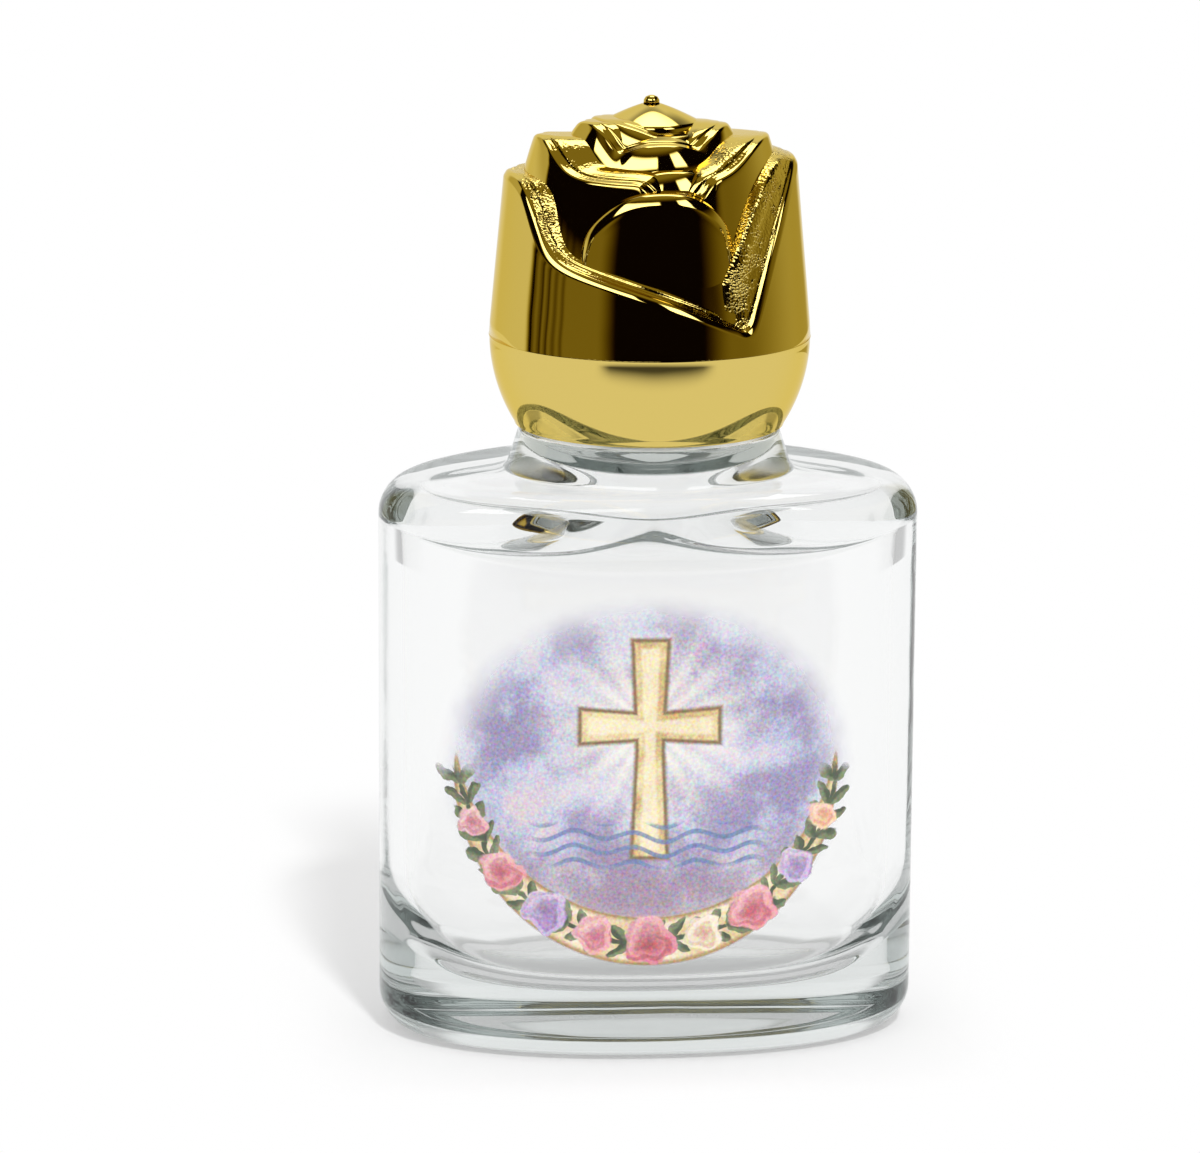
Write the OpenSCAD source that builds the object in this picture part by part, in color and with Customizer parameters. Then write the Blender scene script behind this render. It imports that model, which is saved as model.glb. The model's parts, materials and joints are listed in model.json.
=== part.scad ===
// Small oval glass bottle for holy water, closed by a gold screw cap moulded as a rose.
// The bottle stands on z = 0 with its neck on the z axis, and its front faces -y.

/* [Glass body] */
// Width of the oval body
body_w = 42; // [34:0.5:56]
// Depth of the oval body, front to back
body_d = 25; // [24:0.5:36]
// Height of the shoulder's edge at the narrow sides
shoulder_z = 44.2; // [34:0.2:60]
// How much higher the shoulder's edge is at the front and back
shoulder_crown = 0.6; // [0:0.1:1.2]
// How far the shoulder rises from its edge at the sides to the axis
shoulder_rise = 1.3; // [0.4:0.1:3]
// Fullness of the oval: 2 is an ellipse, and more is squarer
fullness = 2.2; // [2:0.05:3]
// Radius of the shoulder's edge at the narrow sides
shoulder_r = 3.1; // [1:0.1:4]
// Radius of the shoulder's edge at the front and back
shoulder_front_r = 1.8; // [1:0.1:4]
// Radius of the heel
heel_r = 3.1; // [1:0.1:4]
// Thickness of the side wall
wall = 2; // [1.2:0.1:3]
// Thickness of the base
base_t = 5; // [2:0.1:8]
// Thickness of the glass under the shoulder's edge
shoulder_t = 2.2; // [1.4:0.1:4]
// Radius of the cavity's edges
cavity_r = 3.4; // [1:0.1:5]
// Depth of the hollow under the base
pushup = 0.8; // [0.2:0.1:1.5]
// Width of the ring that the bottle stands on
bearing_w = 2.6; // [1.5:0.1:4]

/* [Neck] */
// Diameter of the round collar under the cap
collar_d = 20.4; // [18:0.1:24]
// Height of the collar's ledge above the shoulder's edge
collar_h = 3.7; // [2.4:0.1:6]
// Lean of the collar's flare down to the shoulder
collar_lean = 17; // [6:1:20]
// Diameter of the neck between its threads
neck_d = 13.2; // [11:0.1:14]
// Height of the neck above the collar's ledge
neck_h = 12; // [8:0.1:14]
// Diameter of the mouth
mouth_d = 9.2; // [5:0.1:9.6]
// Radius of the lip at the mouth
lip_r = 0.7; // [0.2:0.1:0.8]

/* [Decal] */
// Width of the printed film
decal_w = 34; // [16:0.5:36]
// Height of the printed film
decal_h = 32; // [12:0.5:34]
// Height of the film's centre above the table
decal_z = 22.6; // [20:0.1:26]
// Thickness of the film
decal_t = 0.12; // [0.1:0.02:0.3]
// Thickness of the adhesive between film and glass
glue_t = 0.02; // [0.01:0.01:0.1]

/* [Inner cap] */
// Room for the threads between the neck and the skirt
thread_room = 0.85; // [0.6:0.05:1.2]
// Thickness of the skirt
liner_wall = 1.3; // [0.9:0.05:1.5]
// Thickness of the top plate
liner_top = 1.2; // [0.8:0.1:2]
// Gap between the skirt's end and the collar's ledge
liner_gap = 0.7; // [0.3:0.1:1.5]
// Clearance of the inner cap in the overcap's bore
press_gap = 0.03; // [0.02:0.01:0.1]
// Thickness of the sealing disc
wad_t = 1; // [0.5:0.1:2]
// Clearance round the sealing disc
wad_gap = 0.15; // [0.05:0.05:0.4]

/* [Overcap bowl] */
// Gap between the overcap's rim and the collar's ledge
rim_gap = 0.25; // [0.2:0.05:0.6]
// How far the overcap's seam stays inside the body's front and back
cap_inset = 0.1; // [0:0.05:0.5]
// Height of the bowl, from rim to seam
bowl_h = 7; // [5:0.1:10]
// Radius of the bowl's curve
bowl_curve = 12.7; // [11:0.1:20]
// How far the parting line stands out
seam_h = 0.15; // [0.1:0.05:0.3]

/* [Rose] */
// Lean of the petals
petal_lean = 5.2; // [2:0.1:8]
// Slope of a petal's edge where it is lowest, rising towards the heart
edge_slope = 28; // [0:1:35]
// Height of the taller outer petal above the seam
cup_h = 14; // [12.6:0.1:15]
// How much lower the other outer petal is
cup_dip = 1.1; // [0:0.1:1.2]
// Lowest point of the outer petals' edge above the seam
cup_low = 1.7; // [1:0.1:4]
// Height above the seam at which the long falling edge would start
cup_knee = 7.7; // [6:0.1:10]
// Turn round the axis that the long falling edge takes
cup_fall = 113; // [100:1:120]
// Turn round the axis that the steep rising edge takes
cup_rise = 57; // [30:1:60]
// Radius of the front and back petals at the top, as a share of the overcap's
front_share = 0.84; // [0.81:0.01:0.87]
// Height of the front petal above the seam
front_h = 12.4; // [11:0.1:12.6]
// Radius of the two side petals at the top, as a share of the overcap's
side_share = 0.725; // [0.7:0.005:0.75]
// Height of the side petals above the seam
side_h = 15.8; // [14.6:0.1:16]
// Lowest edge between the side petals above the seam
side_low = 12.8; // [12.4:0.1:13.6]
// Radius of the heart's outer petals at the top, as a share of the overcap's
heart_share = 0.605; // [0.58:0.005:0.63]
// Height of the heart's outer petals above the seam
heart_h = 13.7; // [13.4:0.1:14.4]
// Radius of the heart's inner petals at the top, as a share of the overcap's
core_share = 0.475; // [0.44:0.005:0.52]
// Height of the heart's inner petals above the seam
core_h = 16.6; // [16:0.1:17]
// Radius of the small petal that wraps the bud, as a share of the overcap's
wrap_share = 0.35; // [0.32:0.005:0.38]
// Height of the small petal that wraps the bud above the seam
wrap_h = 17.2; // [16.8:0.1:17.4]
// Radius of the bud, as a share of the overcap's
bud_share = 0.275; // [0.2:0.005:0.3]
// Height of the bud's edge above the seam
bud_h = 16.6; // [16:0.1:17]
// Height of the bud's tip above the seam
tip_h = 18.1; // [17.4:0.1:19]
// Diameter of the gate mark on the tip
nub_d = 1.1; // [0.8:0.1:1.6]
// Height of the gate mark
nub_h = 0.5; // [0.2:0.1:1]

/* [Hidden] */
$fn = 96;

half_w = body_w / 2;
half_d = body_d / 2;
axis_z = shoulder_z + shoulder_rise;
ledge_z = shoulder_z + collar_h;
mouth_z = ledge_z + neck_h;
cavity_top = shoulder_z - shoulder_t;

skirt_r = neck_d / 2 + thread_room;
liner_r = skirt_r + liner_wall;
bore_r = liner_r + press_gap;
liner_low = ledge_z + liner_gap;
plate_z = mouth_z + wad_t;
liner_high = plate_z + liner_top;

cap_r = half_d - cap_inset;
front_r = cap_r * front_share;
side_r = cap_r * side_share;
heart_r = cap_r * heart_share;
core_r = cap_r * core_share;
wrap_r = cap_r * wrap_share;
bud_r = cap_r * bud_share;
rim_z = ledge_z + rim_gap;
seam_z = rim_z + bowl_h;

// Steps in a rounded stretch of an outline
arc_steps = 6;
// Points round the oval body
oval_steps = 64;
// Points round a ring of petals
petal_steps = 90;
// Depth by which a cut runs past the face that it opens
past = 1;
// Height above the seam from which the petals rise
foot = -1;

// The petals of each ring inside the outer pair: direction from the front, how far the edge's middle
// stands over the ring's own height, half of the petal's turn round the axis, and the fall of the edge
// from its middle to its side
front_petals = [[0.5, 0, 38.5, 4.4], [182, 0.2, 40, 4.2]];
side_petals = [[-95, 0.2, 50, 2.8], [85, 0, 54, 2.8]];
heart_petals = [[9, 0, 40, 3], [190, 0.3, 44, 3]];
core_petals = [[4, -1.1, 40, 1.3], [-66, 0.2, 34, 1.9], [78, -0.1, 47, 1.6], [176, -0.4, 46, 1.6]];
wrap_petals = [[-75, 0, 70, 1.2]];
// How far the lowest edge of the heart's inner petals stands over its outer petals
core_lift = 1;
// How sharply a petal's edge falls towards its sides
arch_power = 2.4;
// How sharply the outer petals' steep edge rises
rise_power = 2.4;
// How far the outer petals' long falling edge bends from straight
fall_bend = 0.85;
// Where the outer petals' tall part ends, and how sharply, round the axis
cup_step = 24.7;
cup_soft = 0.21;
// Direction of the first outer petal's tallest point from the front
cup_turn = -80;

// Points of a round arc from one angle to another
function arc(centre, r, from, to) =
    [for (i = [0 : arc_steps])
        let (a = from + (to - from) * i / arc_steps)
        centre + r * [cos(a), sin(a)]];

function sum_power(v) = sign(v) * pow(abs(v), 2 / fullness);

// One level of the oval, drawn in from the body's side by an inset
function oval_ring(inset, z) =
    [for (i = [0 : oval_steps - 1])
        let (a = 360 * i / oval_steps)
        [(half_w - inset) * sum_power(cos(a)), (half_d - inset) * sum_power(sin(a)), z]];

// Insets and heights up a rounded stretch of an oval block's side
function rounded_side(inset, z, r, from, to) =
    [for (p = arc([-r, z], r, from, to)) [inset - p.x, p.y]];

// One level of the shoulder's edge, which is higher and tighter at the front and back than at the sides
function shoulder_ring(turn) =
    [for (i = [0 : oval_steps - 1])
        let (
            a = 360 * i / oval_steps,
            side = pow(cos(a), 2),
            r = shoulder_front_r + (shoulder_r - shoulder_front_r) * side,
            inset = r * (1 - cos(turn)),
            z = shoulder_z + shoulder_crown * (1 - side) - r * (1 - sin(turn))
        )
        [(half_w - inset) * sum_power(cos(a)), (half_d - inset) * sum_power(sin(a)), z]];

// Height of the outer petals' edge: tall, then a soft step, a long fall and a steep rise
function cup_edge(a) =
    let (
        t = (a - cup_turn + 360) % 360,
        own = t < 180 ? cup_h - cup_dip : cup_h,
        next = t < 180 ? cup_h : cup_h - cup_dip,
        turn = t % 180,
        left = 1 - turn / cup_fall,
        tall = 1 / (1 + exp((turn - cup_step) * cup_soft)),
        slide = cup_low + (cup_knee - cup_low) * left * (1 + fall_bend * (1 - left)),
        fall = slide + (own - cup_knee) * tall,
        flat = 180 - cup_fall - cup_rise,
        rise = next - (next - cup_low) * pow(max(0, 180 - turn - flat) / cup_rise, rise_power)
    )
    turn < cup_fall ? fall : rise;

// Angle between two directions, at most half a turn
function apart(a, b) = abs(((a - b) % 360 + 540) % 360 - 180);

// Height of a ring's edge: the highest of its petals' arches, over the lowest edge between them
function ring_edge(a, petals, high, low) =
    max(concat([low], [for (p = petals) high + p[1] - p[3] * pow(apart(a, p[0]) / p[2], arch_power)]));

// A skin through rings of as many points, closed by a fan to a point at each end
module loft(rings, first, last) {
    n = len(rings[0]);
    m = len(rings);
    points = concat([for (r = rings) each r], [first, last]);
    fans = [for (i = [0 : n - 1])
        let (j = (i + 1) % n)
        each [[i, j, n * m], [n * (m - 1) + j, n * (m - 1) + i, n * m + 1]]];
    sides = [for (k = [0 : m - 2]) for (i = [0 : n - 1])
        let (j = (i + 1) % n, low = n * k, high = n * (k + 1))
        each [[low + i, high + i, low + j], [low + j, high + i, high + j]]];
    polyhedron(points = points, faces = concat(fans, sides));
}

module glass_outside() {
    loft(
        concat(
            [oval_ring(heel_r + bearing_w, 0)],
            [for (s = rounded_side(0, heel_r, heel_r, -90, 0)) oval_ring(s.x, s.y)],
            [for (i = [0 : arc_steps]) shoulder_ring(90 * i / arc_steps)]
        ),
        [0, 0, pushup], [0, 0, axis_z]
    );
    flare_h = ledge_z - cavity_top;
    translate([0, 0, cavity_top])
        cylinder(h = flare_h, d1 = collar_d + 2 * flare_h * tan(collar_lean), d2 = collar_d);
    rotate_extrude()
        polygon(concat(
            [[0, axis_z], [neck_d / 2, axis_z]],
            arc([neck_d / 2 - lip_r, mouth_z - lip_r], lip_r, 0, 90),
            [[0, mouth_z]]
        ));
}

module glass_inside() {
    sides = concat(
        rounded_side(wall, base_t + cavity_r, cavity_r, -90, 0),
        rounded_side(wall, cavity_top - cavity_r, cavity_r, 0, 90)
    );
    loft([for (s = sides) oval_ring(s.x, s.y)], [0, 0, base_t], [0, 0, cavity_top]);
    translate([0, 0, cavity_top - past])
        cylinder(h = mouth_z - cavity_top + 2 * past, d = mouth_d);
}

module glass_bottle() {
    color("lightcyan", 0.4) difference() {
        glass_outside();
        glass_inside();
    }
}

// Points along the front of the oval, at a distance off the glass, from one side to the other
function front_line(off, from, to) =
    [for (i = [0 : oval_steps / 2])
        let (
            x = from + (to - from) * i * 2 / oval_steps,
            y = (half_d + off) * pow(1 - pow(abs(x) / (half_w + off), fullness), 1 / fullness)
        )
        [x, -y]];

module front_decal() {
    reach = decal_w / 2 + decal_t;
    color("lavender") intersection() {
        translate([0, 0, decal_z - decal_h])
            linear_extrude(height = 2 * decal_h)
                polygon(concat(
                    front_line(glue_t, -reach, reach),
                    front_line(glue_t + decal_t, reach, -reach)
                ));
        translate([0, 0, decal_z])
            rotate([90, 0, 0])
                linear_extrude(height = body_d)
                    polygon([for (i = [0 : oval_steps - 1])
                        let (a = 360 * i / oval_steps)
                        [decal_w / 2 * sum_power(cos(a)), decal_h / 2 * sum_power(sin(a))]]);
    }
}

// The bowl under the seam, with its parting line
module bowl() {
    low_angle = -asin(bowl_h / bowl_curve);
    rotate_extrude()
        polygon(concat(
            [[0, -bowl_h]],
            arc([cap_r - bowl_curve, 0], bowl_curve, low_angle, 0),
            [[0, 0]]
        ));
    rotate_extrude()
        translate([cap_r, 0]) circle(r = seam_h);
}

// A cone that leans in like the petals, cut off at a ring's edge. The edge is level where it is
// highest, and elsewhere its surface rises from the cone to a place inside the next ring.
module petal_ring(r, edge) {
    top = max(edge);
    low = min(edge);
    reach = r + (top - foot) * tan(petal_lean) + past;
    inside = r - past * 2;
    slope = [for (e = edge) tan(edge_slope) * sqrt((top - e) / (top - low))];
    turn = 360 / petal_steps;
    function at(i, ring_r, z) = [ring_r * sin(i * turn), -ring_r * cos(i * turn), z];
    intersection() {
        translate([0, 0, foot])
            cylinder(h = top + past - foot, r1 = reach - past, r2 = r - past * tan(petal_lean));
        loft(
            [
                [for (i = [0 : petal_steps - 1]) at(i, reach, foot - past)],
                [for (i = [0 : petal_steps - 1]) at(i, reach, edge[i] - slope[i] * (reach - r))],
                [for (i = [0 : petal_steps - 1]) at(i, inside, edge[i] + slope[i] * (r - inside))]
            ],
            [0, 0, foot - past], [0, 0, low]
        );
    }
}

// Edge heights round a ring of petals
function edges(petals, high, low) =
    [for (i = [0 : petal_steps - 1]) ring_edge(i * 360 / petal_steps, petals, high, low)];

module bud() {
    rotate_extrude()
        polygon(concat(
            [[0, foot], [bud_r, foot]],
            [for (p = arc([0, 0], 1, 0, 90)) [bud_r * p.x, bud_h + (tip_h - bud_h) * p.y]]
        ));
    translate([0, 0, bud_h])
        cylinder(h = tip_h + nub_h - bud_h, d = nub_d);
}

module rose() {
    petal_ring(cap_r - cup_h * tan(petal_lean),
        [for (i = [0 : petal_steps - 1]) cup_edge(i * 360 / petal_steps)]);
    petal_ring(front_r, edges(front_petals, front_h, cup_low));
    petal_ring(side_r, edges(side_petals, side_h, side_low));
    petal_ring(heart_r, edges(heart_petals, heart_h, side_low));
    petal_ring(core_r, edges(core_petals, core_h, heart_h + core_lift));
    petal_ring(wrap_r, edges(wrap_petals, wrap_h, heart_h + core_lift));
    bud();
}

module rose_cap() {
    color("goldenrod") difference() {
        translate([0, 0, seam_z]) {
            bowl();
            rose();
        }
        translate([0, 0, rim_z - past])
            cylinder(h = liner_high - rim_z + past, r = bore_r);
    }
}

module inner_cap() {
    color("whitesmoke") difference() {
        translate([0, 0, liner_low])
            cylinder(h = liner_high - liner_low, r = liner_r);
        translate([0, 0, liner_low - past])
            cylinder(h = plate_z - liner_low + past, r = skirt_r);
    }
}

module sealing_wad() {
    color("ivory")
        translate([0, 0, mouth_z])
            cylinder(h = wad_t, r = skirt_r - wad_gap);
}

glass_bottle();
front_decal();
rose_cap();
inner_cap();
sealing_wad();
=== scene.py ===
# %% [markdown]
# A holy water bottle, modelled in Blender.
# The real object is a pocket bottle: clear oval glass with a thick base, a printed film on its front, and a
# gold screw cap moulded as a rose. Its solids and joints come from a CAD model, which is loaded first. Each
# cell then makes one piece or one finish, in the CAD model's own frame: +Z is up along the neck, the front
# faces -Y, and sizes are written in millimetres.
# Light bounces many times inside thick glass. With the usual few bounces its long paths would end in black,
# so the limits are raised first.

# %% Load the frame
import json
import math

import bmesh
import bpy
import numpy as np
from mathutils import Matrix, Vector

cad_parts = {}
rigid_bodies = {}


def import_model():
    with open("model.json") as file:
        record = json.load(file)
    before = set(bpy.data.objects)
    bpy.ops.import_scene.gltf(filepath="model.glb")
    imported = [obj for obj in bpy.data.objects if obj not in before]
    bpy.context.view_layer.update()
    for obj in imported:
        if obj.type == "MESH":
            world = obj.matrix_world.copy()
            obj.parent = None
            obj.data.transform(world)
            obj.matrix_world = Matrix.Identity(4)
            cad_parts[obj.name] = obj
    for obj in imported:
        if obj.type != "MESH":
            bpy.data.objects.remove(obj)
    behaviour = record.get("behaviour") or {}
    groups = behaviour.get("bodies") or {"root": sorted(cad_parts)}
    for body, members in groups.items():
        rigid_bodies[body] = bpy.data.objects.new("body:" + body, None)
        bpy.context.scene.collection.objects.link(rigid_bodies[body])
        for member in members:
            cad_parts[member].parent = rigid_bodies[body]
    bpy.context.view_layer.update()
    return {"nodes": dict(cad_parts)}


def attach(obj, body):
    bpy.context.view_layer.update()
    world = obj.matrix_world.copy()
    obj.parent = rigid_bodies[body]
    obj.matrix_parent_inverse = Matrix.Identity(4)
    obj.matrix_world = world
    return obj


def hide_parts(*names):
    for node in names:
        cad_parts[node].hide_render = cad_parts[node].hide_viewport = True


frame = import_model()
MM = 0.001
GLASS_BOUNCES = 32
scene = bpy.context.scene
scene.view_settings.view_transform = "Standard"
scene.cycles.max_bounces = GLASS_BOUNCES
scene.cycles.glossy_bounces = GLASS_BOUNCES
scene.cycles.transmission_bounces = GLASS_BOUNCES

# %% [markdown]
# The camera stands a little to the left of the front and looks slightly down, as in the photograph. Its
# angles, distance and lens come from matching the bottle's outline. It could be placed by eye with a Track
# To constraint, but its roll and aim are known, so its matrix is built from its three axes. It aims to the
# left of the bottle's axis, because the bottle stands right of the picture's middle, and it is turned by a
# third of a degree.

# %% Camera
CAMERA_AZIMUTH = math.radians(-5.38)
CAMERA_ELEVATION = math.radians(12.45)
CAMERA_ROLL = math.radians(0.353)
CAMERA_DISTANCE = 444.7 * MM
LENS = 171.06
TARGET = Vector((0, 0, 37 * MM))
AIM_LEFT = 3.73 * MM
AIM_DOWN = 1.08 * MM


def camera_axes(forward):
    """The camera's right, up and back, turned by its roll."""
    right = forward.cross(Vector((0, 0, 1))).normalized()
    up = right.cross(forward)
    cos, sin = math.cos(CAMERA_ROLL), math.sin(CAMERA_ROLL)
    return right * cos + up * sin, up * cos - right * sin, -forward


camera = bpy.data.objects.new("camera", bpy.data.cameras.new("camera"))
scene.collection.objects.link(camera)
scene.camera = camera
camera.data.lens = LENS
camera.data.sensor_width = 36
camera.data.clip_start = 0.01
level = math.cos(CAMERA_ELEVATION)
towards = Vector((
    math.sin(CAMERA_AZIMUTH) * level,
    -math.cos(CAMERA_AZIMUTH) * level,
    math.sin(CAMERA_ELEVATION),
))
stand = TARGET + towards * CAMERA_DISTANCE
right, up, back = camera_axes(-towards)
aim = TARGET - right * AIM_LEFT - up * AIM_DOWN
camera.matrix_world = Matrix.Translation(stand) @ Matrix(
    camera_axes((aim - stand).normalized())
).transposed().to_4x4()
print("camera at", [round(v / MM, 1) for v in stand], "mm")

# %% [markdown]
# Most pieces here are round skins: a profile carried round an axis, but with an oval plan, a helix or a
# wavy edge that a plain spin can't give. The grid operator makes a sheet with the right number of faces,
# and rings of points then bend it: one ring for each row of the sheet. Merging doubles closes the seam
# where a ring meets itself, and the poles where a ring shrinks to a point.


# %% Bend a grid through rings
def add_skin(bm, rings, closed=True, marks=None):
    """Bends a new grid in bm so that its rows run through the rings, given in millimetres.

    marks gives names and one value for each point of each ring, which are kept on the points as attributes.
    """
    rows = len(rings) - 1
    columns = len(rings[0]) if closed else len(rings[0]) - 1
    verts = bmesh.ops.create_grid(bm, x_segments=columns, y_segments=rows, size=1)["verts"]
    for vert in verts:
        column = round((vert.co.x + 1) / 2 * columns)
        row = round((vert.co.y + 1) / 2 * rows)
        vert.co = Vector(rings[row][column % len(rings[0])]) * MM
        for name, values in (marks or {}).items():
            vert[bm.verts.layers.float[name]] = values[row][column % len(rings[0])]
    bmesh.ops.remove_doubles(bm, verts=verts, dist=1e-7)


def finish_piece(name, bm, body, slot, material, *nodes):
    """Turns the faces outwards, shades them smooth, and hands the piece to its CAD body."""
    bmesh.ops.recalc_face_normals(bm, faces=bm.faces)
    mesh = bpy.data.meshes.new(name)
    bm.to_mesh(mesh)
    bm.free()
    mesh.polygons.foreach_set("use_smooth", [True] * len(mesh.polygons))
    mesh.materials.append(material)
    piece = bpy.data.objects.new(name, mesh)
    scene.collection.objects.link(piece)
    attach(piece, body)
    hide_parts(*nodes)
    sizes = [round(size / MM, 1) for size in piece.dimensions]
    print(f"{name}: {len(mesh.polygons)} faces, {sizes} mm, rides on {body}")
    return piece


def smooth_step(low, high, value):
    """0 below low, 1 above high, and a soft curve between."""
    t = np.clip((value - low) / (high - low), 0, 1)
    return t * t * (3 - 2 * t)


print("helpers for skins are ready")

# %% [markdown]
# Shader maths reads best as plain expressions. A wire is one output of a node: adding, multiplying or
# comparing wires adds the Math nodes. One function makes every other kind of node, from its type, its
# settings and the values or wires of its sockets. Short names for the nodes that every finish needs follow:
# the place of a point, a noise, a bump, and a value that was kept on the mesh.


# %% Write shader nodes as expressions
class Wire:
    """One output socket of a node, which can be used in sums."""

    def __init__(self, socket):
        self.socket = socket
        self.tree = socket.id_data

    def math(self, operation, *others):
        return node(self.tree, "ShaderNodeMath", {"operation": operation}, dict(enumerate([self, *others])))

    def __add__(self, other):
        return self.math("ADD", other)

    def __sub__(self, other):
        return self.math("SUBTRACT", other)

    def __rsub__(self, other):
        return node(self.tree, "ShaderNodeMath", {"operation": "SUBTRACT"}, {0: other, 1: self})

    def __mul__(self, other):
        return self.math("MULTIPLY", other)

    def __truediv__(self, other):
        return self.math("DIVIDE", other)

    def __pow__(self, other):
        return self.math("POWER", other)

    __radd__ = __add__
    __rmul__ = __mul__

    def __abs__(self):
        return self.math("ABSOLUTE")

    def smaller(self, other):
        return self.math("MINIMUM", other)

    def larger(self, other):
        return self.math("MAXIMUM", other)

    def step(self, low, high):
        """0 at low, 1 at high, with soft ends. low may be the larger of the two."""
        limits = {"Value": self, "From Min": low, "From Max": high}
        return node(self.tree, "ShaderNodeMapRange", {"interpolation_type": "SMOOTHSTEP"}, limits)


def node(tree, kind, settings=None, sockets=None, out=0):
    """Adds a node, sets it up, fills its sockets, and returns one of its outputs as a wire."""
    made = tree.nodes.new(kind)
    for key, value in (settings or {}).items():
        setattr(made, key, value)
    for key, value in (sockets or {}).items():
        if isinstance(value, Wire):
            tree.links.new(value.socket, made.inputs[key])
        else:
            made.inputs[key].default_value = value
    return Wire(made.outputs[out])


def mix(amount, first, second):
    """The first colour where amount is 0, the second where it is 1."""
    return node(amount.tree, "ShaderNodeMix", {"data_type": "RGBA"}, {0: amount, 6: first, 7: second}, out=2)


def new_finish(name):
    """An empty material and its nodes."""
    material = bpy.data.materials.new(name)
    material.use_nodes = True
    material.node_tree.nodes.clear()
    return material, material.node_tree


def show(tree, shader, kind="ShaderNodeOutputMaterial"):
    """Joins a shader to the output."""
    node_out = tree.nodes.new(kind)
    tree.links.new(shader.socket, node_out.inputs["Surface"])


print("sums that may start with a number:", [name for name in vars(Wire) if name.startswith("__r")])


# %% Nodes that every finish needs
def split(vector):
    """The three parts of a vector."""
    return [node(vector.tree, "ShaderNodeSeparateXYZ", None, {0: vector}, out=k) for k in range(3)]


def place_of(tree):
    """Object coordinates, and their three parts in millimetres."""
    coords = node(tree, "ShaderNodeTexCoord", out=3)
    return coords, [part * (1 / MM) for part in split(coords)]


def noise(coords, scale, detail, roughness=0.5, out=0):
    """A noise texture. Output 1 gives three noises at once, as a colour."""
    sockets = {"Vector": coords, "Scale": scale, "Detail": detail, "Roughness": roughness}
    return node(coords.tree, "ShaderNodeTexNoise", None, sockets, out=out)


def bump(height, strength, distance):
    """A relief for a shader's Normal."""
    sockets = {"Strength": strength, "Distance": distance, "Height": height}
    return node(height.tree, "ShaderNodeBump", None, sockets)


def kept(tree, name):
    """A value that was kept on the points of a mesh."""
    return node(tree, "ShaderNodeAttribute", {"attribute_name": name}, out=2)


print("helpers for finishes are ready")

# %% [markdown]
# The glass is clear, and slightly grey-green where it is thick, as cheap bottle glass is. A flat sheet with
# a tint would look thin, so Cycles refracts the light in the solid itself: full transmission, the
# refraction of soda-lime glass, a white surface, and an absorption in the volume that darkens the long ways
# through it.
# Two values on the mesh change it in places. One is painted shade: it makes the throat's wall a grey mirror,
# which shows as the grey band in the collar and stands for the dark inside of the neck under the cap. Frost
# roughens the collar's ledge and the underside of the base.
# A very weak, wide ripple stands for the uneven surface that a mould leaves.

# %% Clear glass finish
GLASS_TINT = (1, 1, 1, 1)
# The throat's grey is painted shade: a grey mirror that stands for the dark inside of the neck under the
# cap.
THROAT_SHADE_TINT = (0.62, 0.64, 0.62, 1)
BODY_TINT, BODY_DENSITY = (0.735, 0.77, 0.762, 1), 48.0
FROST_ROUGHNESS, GLASS_IOR = 0.35, 1.5
clear_glass, tree = new_finish("clear_glass")
coords, _ = place_of(tree)
throat_shade = kept(tree, "throat_shade")
glass_shader = node(tree, "ShaderNodeBsdfPrincipled", None, {
    "Base Color": mix(throat_shade, GLASS_TINT, THROAT_SHADE_TINT),
    "Metallic": throat_shade,
    "Roughness": kept(tree, "frost") * FROST_ROUGHNESS,
    "IOR": GLASS_IOR,
    "Transmission Weight": 1.0,
    "Normal": bump(noise(coords, 160.0, 1.0), 0.06, 0.0005),
})
show(tree, glass_shader)
body_tint = node(tree, "ShaderNodeVolumeAbsorption", None, {"Color": BODY_TINT, "Density": BODY_DENSITY})
tree.links.new(body_tint.socket, tree.nodes["Material Output"].inputs["Volume"])
print("finish:", clear_glass.name)

# %% [markdown]
# The bottle is one skin, inside and outside. A bevelled box could give the body and a spin the neck, but
# their joint would show in the glass, so one grid is bent through rings instead. The plan is an oval
# between an ellipse and a rectangle, drawn by a formula, while the neck is round. A thread is a bead on the
# neck's rings, which moves round by one pitch for each turn.

# %% Outlines of the bottle
HALF_W, HALF_D, FULLNESS = 21.0, 12.5, 2.2
SHOULDER_Z, SHOULDER_R, HEEL_R = 44.2, 3.1, 3.1
SHOULDER_FRONT_R, SHOULDER_CROWN, SHOULDER_RISE = 1.8, 0.6, 1.3
WALL, BASE_T, CAVITY_R = 2.0, 5.0, 3.4
COLLAR_R, LEDGE_Z, COLLAR_LEAN = 10.2, 47.9, math.radians(17)
COLLAR_EDGE, NECK_FILLET, COLLAR_FILLET = 0.35, 0.45, 0.5
NECK_R, MOUTH_R, MOUTH_Z, LIP_R = 6.6, 4.6, 59.9, 0.7
GLASS_COLUMNS = 192
THREAD_PITCH, THREAD_LOW, THREAD_HIGH, THREAD_FADE = 2.117, 51.0, 57.6, 0.6
BEAD_RISE, BEAD_HALF, BEAD_STEP = 0.62, 0.42, 0.16
ROUND = np.linspace(0, 2 * np.pi, GLASS_COLUMNS, endpoint=False)
SIDE = np.cos(ROUND) ** 2
EDGE_R = SHOULDER_FRONT_R + (SHOULDER_R - SHOULDER_FRONT_R) * SIDE
EDGE_Z = SHOULDER_Z + SHOULDER_CROWN * (1 - SIDE)


def oval(inset, angles=ROUND):
    """Plan of the oval, drawn in from the body's side."""
    cos, sin = np.cos(angles), np.sin(angles)
    x = (HALF_W - inset) * np.sign(cos) * np.abs(cos) ** (2 / FULLNESS)
    y = (HALF_D - inset) * np.sign(sin) * np.abs(sin) ** (2 / FULLNESS)
    return np.stack([x, y], axis=1)


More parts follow.
